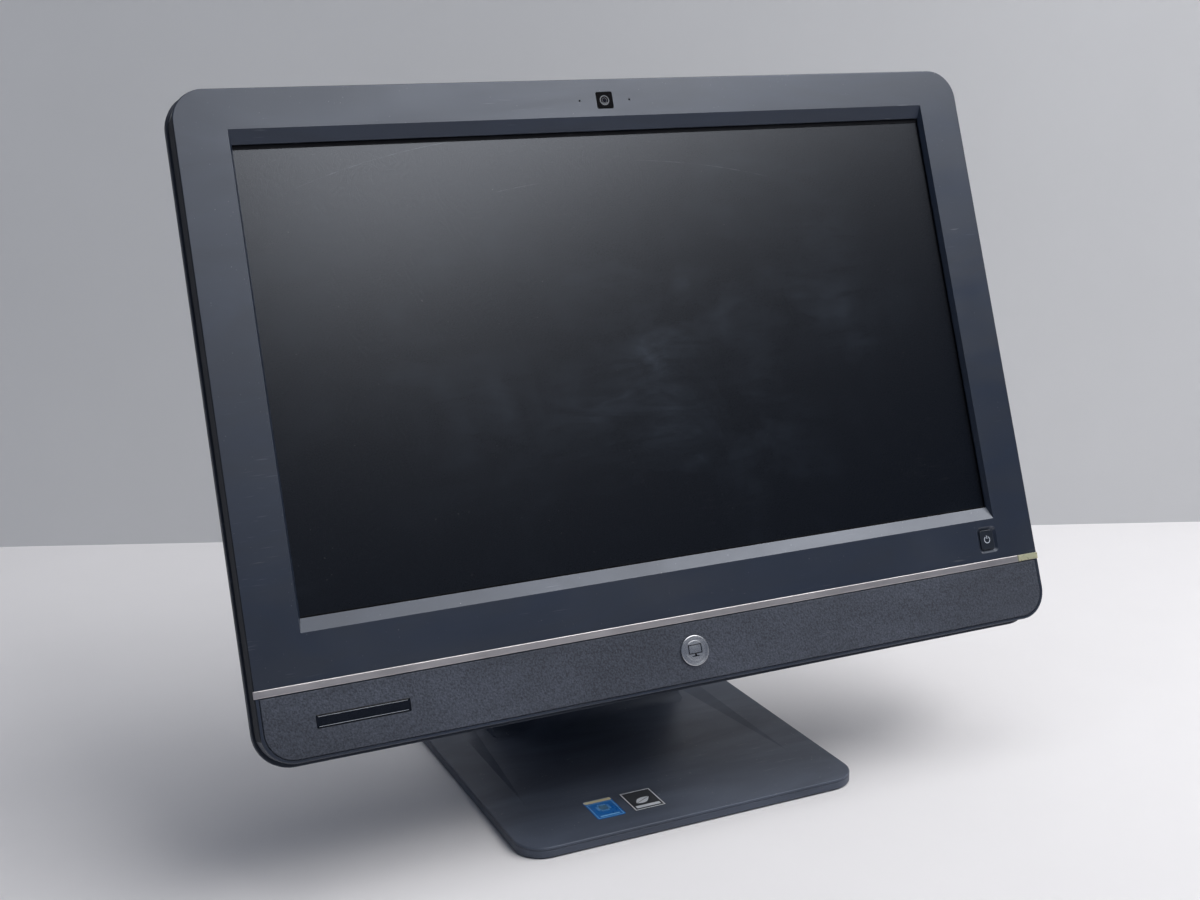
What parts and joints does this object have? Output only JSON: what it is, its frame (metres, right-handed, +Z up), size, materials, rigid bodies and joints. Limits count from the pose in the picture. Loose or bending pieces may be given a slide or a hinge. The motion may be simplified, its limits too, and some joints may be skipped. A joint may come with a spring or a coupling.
{
  "type": "all-in-one pc",
  "caption": "All-in-one desktop computer: wide flat screen head with camera, chin bar and disc drive, tilting on a low square foot with a sloping neck.",
  "frame": {"origin": "on the desk surface under the middle of the foot", "axes": "+Z up, +X to the viewer's right, -Y out of the screen side towards the viewer"},
  "size_m": [0.502, 0.2, 0.4229],
  "materials": {
    "bezel_plastic": "fine satin texture, charcoal",
    "button_plastic": "satin",
    "strip_metal": "satin, warm silver",
    "light_lens": "frosted, translucent",
    "grille_plastic": "coarse mottled texture",
    "badge_metal": "satin, brushed in circles",
    "nameplate_gloss": "gloss",
    "window_gloss": "gloss, tinted",
    "screen_film": "anti-glare film over glass",
    "black_steel": "semi-matte black",
    "backlight_plastic": "white moulded",
    "frame_plastic": "matte black",
    "plated_steel": "zinc plated",
    "bright_steel": "bright plated",
    "circuit_board": "solder mask",
    "copper": "bare copper",
    "fin_aluminium": "bare",
    "fan_plastic": "moulded black",
    "drive_alloy": "cast and machined",
    "speaker_plastic": "moulded black",
    "port_steel": "nickel plated",
    "jack_plastic": "moulded black",
    "tray_plastic": "moulded black",
    "spindle_plastic": "moulded grey",
    "rear_plastic": "fine spark texture, charcoal",
    "stand_plastic": "fine satin texture, charcoal",
    "base_steel": "black powder coat",
    "screw_steel": "black oxide",
    "soft_rubber": "matte",
    "blue_label": "printed film",
    "silver_label": "printed film"
  },
  "bodies": {
    "stand": {"hinge_shaft": "bright_steel", "friction_washers": "bright_steel", "hinge_nuts": "bright_steel", "neck_front_cover": "stand_plastic", "neck_rear_cover": "stand_plastic", "neck_core": "bright_steel", "cable_guide": "soft_rubber", "base_cover": "stand_plastic", "base_weight_plate": "base_steel", "base_bottom_plate": "base_steel", "base_screws": "screw_steel", "base_pads": "soft_rubber", "processor_sticker": "blue_label", "energy_sticker": "silver_label"},
    "head": {"front_bezel": "bezel_plastic", "trim_strip": "strip_metal", "activity_light_pipe": "light_lens", "speaker_grille": "grille_plastic", "round_badge": "badge_metal", "nameplate": "nameplate_gloss", "webcam_window": "window_gloss", "webcam_module": "circuit_board", "microphone_boots": "soft_rubber", "power_switch_board": "circuit_board", "lcd_glass": "screen_film", "lcd_frame": "black_steel", "backlight_unit": "backlight_plastic", "mid_frame": "frame_plastic", "chassis_plate": "plated_steel", "motherboard": "circuit_board", "cpu_heatsink": "fin_aluminium", "heat_pipe": "copper", "blower_housing": "fan_plastic", "memory_modules": "circuit_board", "wireless_card": "circuit_board", "hard_drive": "drive_alloy", "hard_drive_cage": "plated_steel", "speaker_left": "speaker_plastic", "speaker_right": "speaker_plastic", "usb_ports": "port_steel", "network_jack": "port_steel", "video_ports": "port_steel", "rear_audio_jacks": "jack_plastic", "power_inlet": "jack_plastic", "rear_io_bracket": "plated_steel", "optical_drive_case": "plated_steel", "side_ports": "circuit_board", "rear_cover": "rear_plastic", "service_door": "rear_plastic", "cover_screws": "screw_steel", "hinge_bracket": "black_steel", "hinge_bracket_screws": "screw_steel", "hinge_cover_left": "rear_plastic", "hinge_cover_right": "rear_plastic"},
    "power_button": {"power_button": "button_plastic"},
    "disc_tray": {"disc_tray": "tray_plastic", "disc_spindle": "spindle_plastic", "tray_bezel": "rear_plastic"},
    "eject_button": {"eject_button": "rear_plastic"},
    "blower_impeller": {"blower_impeller": "fan_plastic"}
  },
  "joints": [
    {"name": "head_tilt", "type": "hinge", "parent": "stand", "child": "head", "pos_m": [0, 0.02814, 0.21304], "axis": [-1, 0, 0], "range_deg": [-24.5, 5.5]},
    {"name": "power_button_press", "type": "slide", "parent": "head", "child": "power_button", "axis": [0, 0.9426, -0.3338], "range_m": [0, 0.001], "stiffness_N_per_m": 1500, "springref_m": -0.0005},
    {"name": "tray_slide", "type": "slide", "parent": "head", "child": "disc_tray", "axis": [1, 0, 0], "range_m": [0, 0.118]},
    {"name": "eject_button_press", "type": "slide", "parent": "disc_tray", "child": "eject_button", "axis": [-1, 0, 0], "range_m": [0, 0.0006], "stiffness_N_per_m": 1500, "springref_m": -0.0004},
    {"name": "blower_spin", "type": "hinge", "parent": "head", "child": "blower_impeller", "pos_m": [0.1, 0.02574, 0.30512], "axis": [0, 0.9426, -0.3338], "continuous": true}
  ]
}
